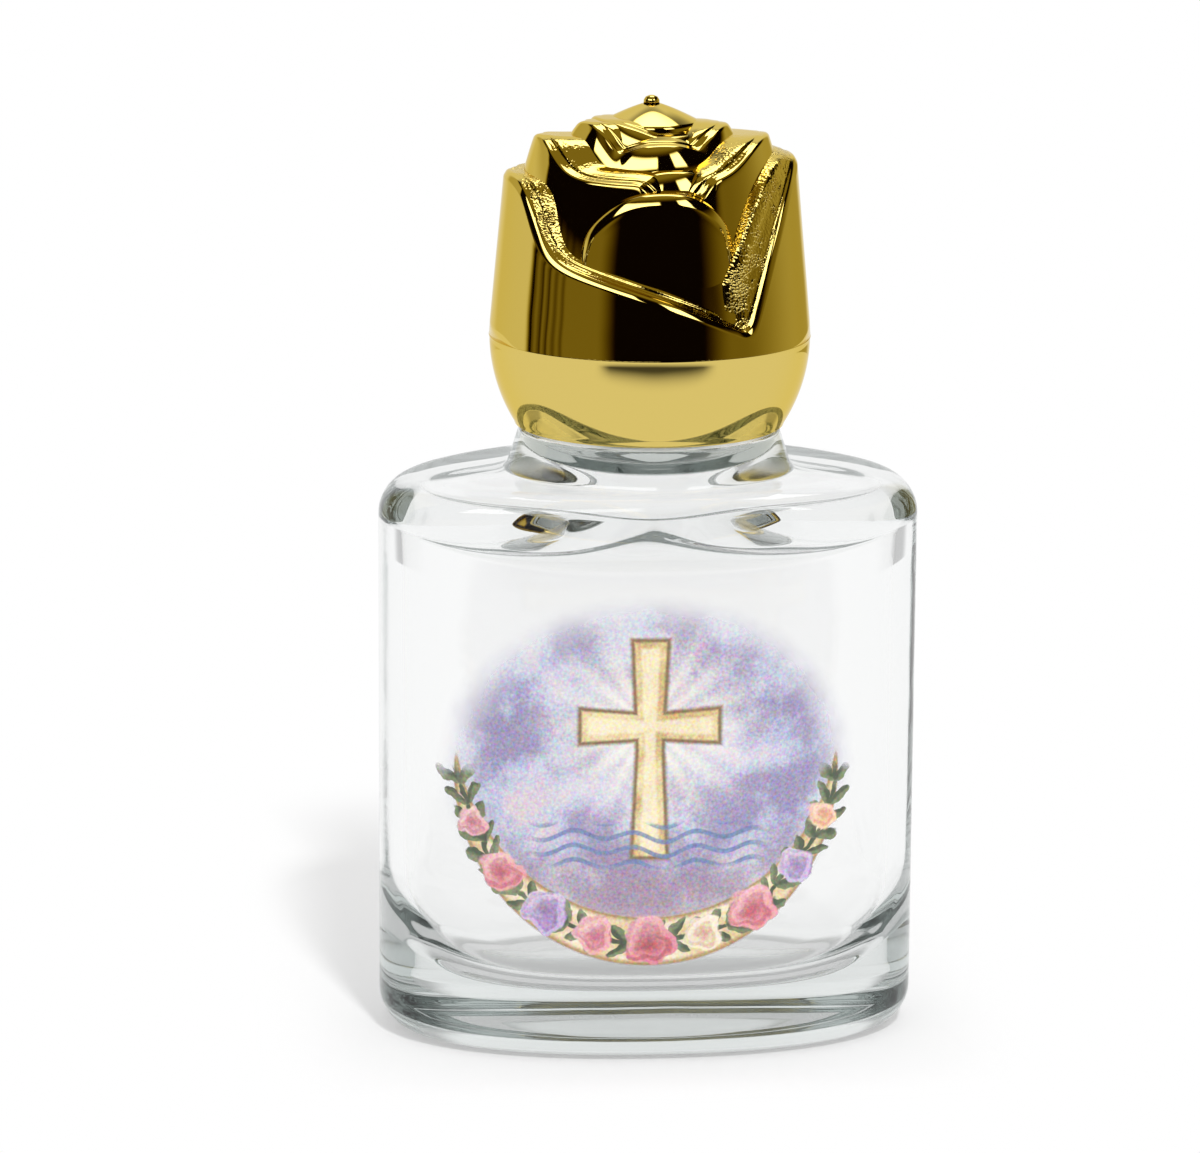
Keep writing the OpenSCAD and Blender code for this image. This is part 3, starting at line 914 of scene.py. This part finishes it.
def petal_rings(edge, radius, face, foot, inner, lip, bevel, band, pitted, columns):
    """Rings of one ring of petals, and the pitting of each. radius is the edge's, 12 mm over the seam."""
    run = np.radians(360 / len(FINE)) * radius
    fine_tops = soften(edge(FINE), radius, EDGE_SOFT)
    directions = along_edge(fine_tops, radius, columns)

    def sample(values):
        return np.interp(directions, FINE, values, period=360)

    tops = sample(fine_tops)
    steep = sample(np.gradient(np.concatenate([fine_tops[-2:], fine_tops, fine_tops[:2]]), run)[2:-2])
    level = 1 / np.sqrt(1 + steep**2)
    edge_radius = radius - LEAN * (tops - RADIUS_AT)
    arc = np.radians(directions) * radius
    share = np.minimum(1, (fine_tops - fine_tops.min()) / (LEVEL_SHARE * np.ptp(fine_tops)))
    upper, lower = np.tan(np.radians(face[:2]))
    bend = face[2]

    def points(shift, height, reach):
        around = (arc + shift) / radius
        reach = reach - SEAM_TUCK * np.maximum(0, 1 - height / TUCK_HEIGHT) ** 2
        return np.stack([reach * np.sin(around), -reach * np.cos(around), SEAM_Z + height], axis=1)

    def bulge(fall):
        bent = np.minimum(fall, bend)
        return lower * fall + (upper - lower) * (bent - bent**2 / (2 * bend))

    rows, grains = [], []
    lip_points = lip_profile(lip, bevel)
    _, lip_height, lip_run = lip_points[-1]
    for drop in [drop for drop in WALL_DROPS if drop > lip_height]:
        fall = (tops - foot) * np.tanh(drop / (level * (tops - foot)))
        rows.append(points(0 * arc, tops - fall, edge_radius + bulge(fall)))
        grains.append(0.0)
    for turned, height, inwards in lip_points:
        drop = lip_height - height
        reach = edge_radius + bulge(level * drop) - inwards
        rows.append(points(steep * level * drop, tops - level * drop, reach))
        grains.append(max(0.0, (turned - PIT_TURN) / PIT_SPREAD) * pitted)
    rise, left, right, right_rise = band
    right_side = soft_drop(np.abs(FINE - RIGHT_AT), RIGHT_HALF, RIGHT_SOFT)
    for step in [*BAND_STEPS, radius - inner]:
        eased = min(step, EASE_START + EASE_SLOPE * step)
        rises = eased * rise * np.sqrt(1 - share) + min(step, RIGHT_RUN) * right_rise * right_side
        height = sample(grown(fine_tops, rises, run, left * min(1, step / LEFT_RUN), right * step))
        reach = edge_radius - lip_run - step - groove_at(step)
        rows.append(points(0 * arc, height, np.maximum(reach, inner)))
        grains.append(pitted)
    poles = [np.zeros((columns, 3)) + [0, 0, SEAM_Z + height] for height in (foot, fine_tops.min())]
    # The pitting is weak where an outer petal slides down.
    on_slide = soft_drop(np.abs((directions + OUTER_START) % 180 - SLIDE_AT), SLIDE_HALF, SLIDE_SOFT)
    uneven = 1 - SLIDE_POLISH * on_slide
    return [poles[0], *rows, poles[1]], [value * uneven for value in [0.0, *grains, pitted]]


print("rows on a petal's face:", len(WALL_DROPS), "and on its band:", len(BAND_STEPS) + 1)

# %% Rose
# Edge, radius, slope of the face above and below its bend and the bend's height, foot, inner radius, lip,
# bevel, the band's rise, its reach to the left and right and its extra rise at the right, pitting, and
# columns.
ROSE = [
    (outer_edge, 11.37, (5.2, 5.2, 1), 0.0, 7.6, 0.38, 0.25, (1.0, 3.3, 1.25, 0.4), 1.0, 800),
    (front_edge, 10.46, (5.2, 2, 6), 0.4, 7.2, 0.5, 0.45, (0.8, 1.0, 1.0, 0), 0.0, 480),
    (side_edge, 9.3, (19, 10, 5), 1.0, 5.6, 0.26, 0, (0.6, 1.2, 1.2, 0), 0.25, 420),
    (heart_edge, 7.66, (38, 8, 2.5), 4.0, 4.6, 0.2, 0, (0.5, 1.2, 1.2, 0), 0.0, 300),
    (core_edge, 6.2, (38, 10, 2.5), 6.0, 3.0, 0.2, 0, (0.5, 1.2, 1.2, 0), 0.0, 300),
    (wrap_edge, 4.9, (38, 10, 2), 8.0, 2.4, 0.2, 0, (0.3, 1.2, 1.2, 0), 0.0, 180),
]
bm = bmesh.new()
bm.verts.layers.float.new("grain")
for ring in ROSE:
    petal_ring, petal_grain = petal_rings(*ring)
    add_skin(bm, petal_ring, marks={"grain": petal_grain})
print("petal rings:", len(ROSE))

# %% [markdown]
# The bud and the bowl under the seam are true turned shapes, so they are spun: a profile of a few points is
# drawn in the XZ plane and carried once round the axis, merging the last copy with the first. The bowl's
# profile starts inside, at the bore that takes the inner cap, turns round the rim, passes the seam, where
# the two halves of the mould left a fine ridge, and closes over the bore, hidden in the rose.


# %% Spin a profile
def spin_profile(bm, profile, steps):
    """Spins a profile of radius and height pairs once round the axis."""
    verts = [bm.verts.new((radius * MM, 0, height * MM)) for radius, height in profile]
    edges = [bm.edges.new(pair) for pair in zip(verts, verts[1:])]
    bmesh.ops.spin(
        bm, geom=verts + edges, cent=(0, 0, 0), axis=(0, 0, 1),
        angle=2 * math.pi, steps=steps, use_merge=True,
    )
    bmesh.ops.remove_doubles(bm, verts=bm.verts, dist=1e-7)


def arc_points(centre, radius, start, end, count):
    """Points of a round arc, as radius and height pairs."""
    sweep = np.radians(np.linspace(start, end, count))
    return [(centre[0] + radius * math.cos(a), centre[1] + radius * math.sin(a)) for a in sweep]


print("points of a quarter arc:", len(arc_points((0, 0), 1, 0, 90, 5)))

# %% Bud and bowl
BUD_R, BUD_FOOT, BUD_EDGE, BUD_TOP, BUD_DOME_END = 3.85, 9, 16.5, 18.1, 0.86
NUB = [(0.62, 17.9), (0.6, 18.18), (0.45, 18.42), (0.2, 18.53), (0, 18.55)]
bud = [(0, BUD_FOOT), (BUD_R, BUD_FOOT), (BUD_R, BUD_EDGE - 0.3)]
for share in np.linspace(0, BUD_DOME_END, 12):
    dome = 0.6 * share + 0.4 * math.sin(share * math.pi / 2)
    bud.append((BUD_R * (1 - share), BUD_EDGE + (BUD_TOP - BUD_EDGE) * dome))
spin_profile(bm, [(radius, SEAM_Z + height) for radius, height in bud + NUB], 96)

BORE_R, BORE_TOP, RIM_Z, CAP_R, BOWL_CURVE = 8.78, 62.1, 48.15, 12.4, 12.7
BORE_EDGE, RIM_EDGE, SEAM_RIDGE = 0.25, 0.3, 0.05
CORE_R, CORE_T = 9.6, 0.9
low_angle = -math.degrees(math.asin((SEAM_Z - RIM_Z - RIM_EDGE) / BOWL_CURVE))
curve = arc_points((CAP_R - BOWL_CURVE, SEAM_Z), BOWL_CURVE, low_angle, -0.6, 22)
bowl = [(0, BORE_TOP), (BORE_R, BORE_TOP), (BORE_R, RIM_Z + RIM_EDGE)]
bowl += arc_points((BORE_R + BORE_EDGE, RIM_Z + BORE_EDGE), BORE_EDGE, 180, 270, 4)
bowl += arc_points((curve[0][0] - RIM_EDGE, RIM_Z + RIM_EDGE), RIM_EDGE, -90, -30, 4)
bowl += curve
for rise, out in ((-SEAM_RIDGE, 0.02), (0, SEAM_RIDGE), (SEAM_RIDGE, 0.02), (0.16, -SEAM_RIDGE)):
    bowl.append((CAP_R + out, SEAM_Z + rise))
bowl += [(CORE_R + 0.3, SEAM_Z + 0.2), (CORE_R, BORE_TOP + CORE_T), (0, BORE_TOP + CORE_T)]
spin_profile(bm, bowl, 160)
finish_piece("rose_cap_plated", bm, "cap", "gold_plating", gold_plating, "rose_cap")

# %% [markdown]
# Inside the plated cap sits a white plastic one with the thread. A Screw modifier could make the thread as
# a piece of its own, but the moulding is one skin: it runs from the middle of its top plate down the
# threaded wall, round the end of the skirt and up outside. The thread lies half a pitch from the neck's, so
# the two mesh at every turn. The plastic is slightly milky, and a faint cloud varies its colour, gloss and
# surface.

# %% White plastic finish
white_plastic, tree = new_finish("white_plastic")
coords, _ = place_of(tree)
cloud = noise(coords, 900.0, 3.0)
plastic_shader = node(tree, "ShaderNodeBsdfPrincipled", None, {
    "Base Color": mix(cloud, (0.80, 0.80, 0.78, 1), (0.86, 0.86, 0.84, 1)),
    "Roughness": 0.32 + cloud * 0.14,
    "Subsurface Weight": 0.05,
    "Normal": bump(cloud, 0.3, 0.00003),
})
show(tree, plastic_shader)
print("finish:", white_plastic.name)

# %% Inner cap
SKIRT_R, LINER_R, LINER_LOW, PLATE_Z, LINER_HIGH = 7.45, 8.75, 48.6, 60.9, 62.1
LINER_BEAD, LINER_EDGE = 0.55, 0.2
rings = [ring_at(circle * radius, PLATE_Z) for radius in (0, 3, 6, SKIRT_R - 0.3)]
for height in np.arange(PLATE_Z - LINER_EDGE, LINER_LOW + 0.3, -BEAD_STEP):
    radius = SKIRT_R - LINER_BEAD * thread_bead(height, THREAD_PITCH / 2)
    rings.append(ring_at(circle * radius[:, None], height))
rings.append(ring_at(circle * (SKIRT_R + 0.05), LINER_LOW + 0.15))
rings.append(ring_at(circle * (SKIRT_R + LINER_EDGE), LINER_LOW))
rings.append(ring_at(circle * (LINER_R - LINER_EDGE), LINER_LOW))
rings.append(ring_at(circle * LINER_R, LINER_LOW + LINER_EDGE))
for height in np.linspace(LINER_LOW + 1, LINER_HIGH - LINER_EDGE, 6):
    rings.append(ring_at(circle * LINER_R, height))
rings += [ring_at(circle * radius, LINER_HIGH) for radius in (LINER_R - LINER_EDGE, 5, 0)]
bm = bmesh.new()
add_skin(bm, rings)
finish_piece("threaded_inner_cap", bm, "cap", "white_plastic", white_plastic, "inner_cap")

# %% [markdown]
# The sealing wad is a disc of white foam. The CAD solid has its shape, so a new mesh would add nothing: it
# only gets a finish, whose fine cells are a Voronoi pattern in colour and relief.

# %% Foam finish
foam_seal, tree = new_finish("foam_seal")
coords, _ = place_of(tree)
cells = node(tree, "ShaderNodeTexVoronoi", None, {"Vector": coords, "Scale": 4000.0})
foam_shader = node(tree, "ShaderNodeBsdfPrincipled", None, {
    "Base Color": mix(cells, (0.70, 0.69, 0.66, 1), (0.84, 0.83, 0.80, 1)),
    "Roughness": 0.85,
    "Normal": bump(cells, 0.5, 0.0001),
})
show(tree, foam_shader)
wad = frame["nodes"]["sealing_wad"]
wad.data.materials.clear()
wad.data.materials.append(foam_seal)
print("finish:", foam_seal.name, "on", wad.name)

# %% [markdown]
# The background is white for the camera, and the plating mirrors a small studio: dim walls at the sides, a
# dark room behind the camera, soft boxes above, a dim ceiling and a white backdrop behind the bottle. Lamps
# and boards would do, but they would also show in the glass and light the floor. The world's nodes draw
# them instead: directions are turned into an azimuth from the front and a height, and smooth steps draw
# each wall and box.

# %% Walls and soft boxes
LEFT_NEAR, LEFT_FAR, RIGHT_NEAR, RIGHT_FAR = 0.22, 0.58, 0.2, 0.3
CEILING, BOX_LIGHT, DARKEST = 0.26, 3.5, 0.003
FLUTE, FLUTE_WAVE, GAP_SOFT = 0.16, 0.05, 0.8
DARK_GAPS = [(-103, -100, 0.15), (-92, -90, 0.09), (-85.5, -84, 0.07)]
world = bpy.data.worlds.new("studio")
scene.world = world
world.use_nodes = True
tree = world.node_tree
tree.nodes.clear()
direction = node(tree, "ShaderNodeTexCoord", out=0)
dx, dy, dz = split(direction)
azimuth = dx.math("ARCTAN2", 0 - dy) * (180 / math.pi)
elevation = dz.math("ARCSINE") * (180 / math.pi)


def window(value, low, high, soft):
    """1 between low and high, with soft ends."""
    return value.step(low - soft, low + soft) * value.step(high + soft, high - soft)


right_wall = azimuth.step(32, 58) * RIGHT_NEAR + azimuth.step(62, 125) * RIGHT_FAR
right_wall = right_wall * elevation.step(34, 20)
left_wall = azimuth.step(-28, -44) * elevation.step(12, 3) * LEFT_NEAR
left_wall = left_wall + azimuth.step(-99, -108) * elevation.step(48, 36) * LEFT_FAR
flutes = FLUTE + (azimuth * 0.9).math("SINE") * FLUTE_WAVE
for start, end, depth in DARK_GAPS:
    flutes = flutes - window(azimuth, start, end, GAP_SOFT) * depth
fluted = window(azimuth, -104, -70, 2)
walls = left_wall * (1 - fluted) + flutes * fluted * elevation.step(12, 3) + right_wall
walls = walls + elevation.step(50, 64) * CEILING
top_box = window(dx, -0.16, 0.34, 0.02) * window(dy, 0.2, 0.6, 0.02) * dz.step(0.3, 0.35)
left_box = window(azimuth, -70, 2, 2) * window(elevation, 33, 50, 3)
right_box = window(azimuth, 31, 55, 2) * window(elevation, 33, 52, 3)
studio = walls.larger(DARKEST) + (top_box + left_box + right_box) * BOX_LIGHT
print("walls and soft boxes:", len(tree.nodes), "nodes")

# %% [markdown]
# Light Path tells the rays apart. The camera sees plain white, and the rays that only light things up see
# an even grey. Rays that went through the glass see white too, but darker at the front and at the two
# sides, because the dark room is what draws the edges of clear glass. A ray through glass counts as glossy
# as well, so the mirror takes only the glossy rays that didn't pass through. The studio is tinted as the
# dim walls of a warm room are.

# %% What each ray sees
AMBIENT, FRONT_DARK, SIDE_DARK = 0.75, 0.55, 0.45
BACKDROP = (0.9, 0.9, 0.9, 1)
GREEN_FALL, BLUE_FALL = 1.17, 2.4


def ray_kinds(tree):
    """1 for a ray from the camera, in a mirror or through glass, and 0 for others."""
    path = tree.nodes.new("ShaderNodeLightPath")
    camera_ray, glossy, through_glass = [
        Wire(path.outputs[name]) for name in ("Is Camera Ray", "Is Glossy Ray", "Is Transmission Ray")
    ]
    return camera_ray, glossy * (1 - through_glass), through_glass


camera_ray, mirrored, through_glass = ray_kinds(tree)
front_dark = window(azimuth, -45, 45, 12) * window(elevation, -8, 48, 6) * (1 - left_box) * (1 - right_box)
side_dark = window(abs(azimuth), 95, 140, 8) * window(elevation, -14, 40, 8)
through = (1 - front_dark * FRONT_DARK) * (1 - side_dark * SIDE_DARK)
level = AMBIENT + through_glass * (through - AMBIENT)
level = level + camera_ray * (1 - level)
plain = node(tree, "ShaderNodeCombineXYZ", None, {0: level, 1: level, 2: level})
dull, extra = studio.smaller(1), studio.larger(1)
tinted = {0: studio, 1: dull**GREEN_FALL * extra, 2: dull**BLUE_FALL * extra}
warm = node(tree, "ShaderNodeCombineXYZ", None, tinted)
warm = mix(abs(azimuth).step(148, 160) * elevation.step(60, 40), warm, BACKDROP)
seen = mix(mirrored, plain, warm)
background = node(tree, "ShaderNodeBackground", None, {"Color": seen, "Strength": 1.0})
show(tree, background, "ShaderNodeOutputWorld")
print("studio world:", len(tree.nodes), "nodes")

# %% [markdown]
# The floor is white. Part of its brightness is its own, so that it meets the background without an edge,
# and the rest is lit, so that the bottle's soft shadow stays. Near the bottle more of it is lit, for the
# shadow to show. Through the glass the floor is mostly its own white, but less so under the bottle, where
# the base would otherwise glow. The mirror sees it a little dimmer, and much dimmer in front, where the
# dark room begins.

# %% Floor finish
FLOOR_R, FLOOR_TONE = 260, 0.985
LIT_SIDE, LIT_FRONT, LIT_BACK = (22, 31), (-15, -22), (45, 80)
OWN_LEAST, OWN_THROUGH, UNDER_LOSS = 0.3, 0.85, 0.65
MIRROR_DIM, MIRROR_DARK = 0.06, 0.86
floor_finish, tree = new_finish("floor_white")
_, (across, along, _) = place_of(tree)
_, mirrored, through_glass = ray_kinds(tree)
ahead = (0 - along).step(90, 200) * (abs(across) + along * 0.8).step(30, -30)
lit = node(tree, "ShaderNodeBsdfDiffuse", None, {"Color": (FLOOR_TONE, FLOOR_TONE, FLOOR_TONE, 1)})
strength = 1 - mirrored * (MIRROR_DIM + ahead * MIRROR_DARK)
own = node(tree, "ShaderNodeEmission", None, {"Color": (1, 1, 1, 1), "Strength": strength})
far = abs(across).step(*LIT_SIDE).larger(along.step(*LIT_FRONT)).larger(along.step(*LIT_BACK))
under = ((across / HALF_W) ** 2 + (along / HALF_D) ** 2).step(1.15, 0.85)
own_share = (OWN_LEAST + far * (1 - OWN_LEAST)).larger(through_glass * (OWN_THROUGH - under * UNDER_LOSS))
show(tree, node(tree, "ShaderNodeMixShader", None, {0: own_share, 1: lit, 2: own}))
print("finish:", floor_finish.name)

# %% [markdown]
# The floor's mesh is a disc from one operator. One lamp at the right, in front and high up, throws the
# shadow to the left. It is hidden from the mirror and from the glass, which have their own studio.

# %% Floor and lamp
LAMP_SIZE, LAMP_POWER = 0.1, 5.2
LAMP_PLACE, LAMP_AIM = Vector((0.14, -0.722, 0.817)), Vector((0, 0, 0.02))
bm = bmesh.new()
bmesh.ops.create_circle(bm, cap_ends=True, segments=64, radius=FLOOR_R * MM)
floor_mesh = bpy.data.meshes.new("floor")
bm.to_mesh(floor_mesh)
bm.free()
floor_mesh.materials.append(floor_finish)
floor = bpy.data.objects.new("floor", floor_mesh)
scene.collection.objects.link(floor)

lamp = bpy.data.objects.new("side_lamp", bpy.data.lights.new("side_lamp", "AREA"))
scene.collection.objects.link(lamp)
lamp.data.shape = "DISK"
lamp.data.size = LAMP_SIZE
lamp.data.energy = LAMP_POWER
lamp.location = LAMP_PLACE
lamp.rotation_euler = (LAMP_AIM - LAMP_PLACE).to_track_quat("-Z", "Y").to_euler()
lamp.visible_glossy = False
lamp.visible_transmission = False
print("floor radius", FLOOR_R, "mm")

# %% [markdown] A part in a library has to keep its size, so every piece is drawn in the CAD model's frame,
# in millimetres.
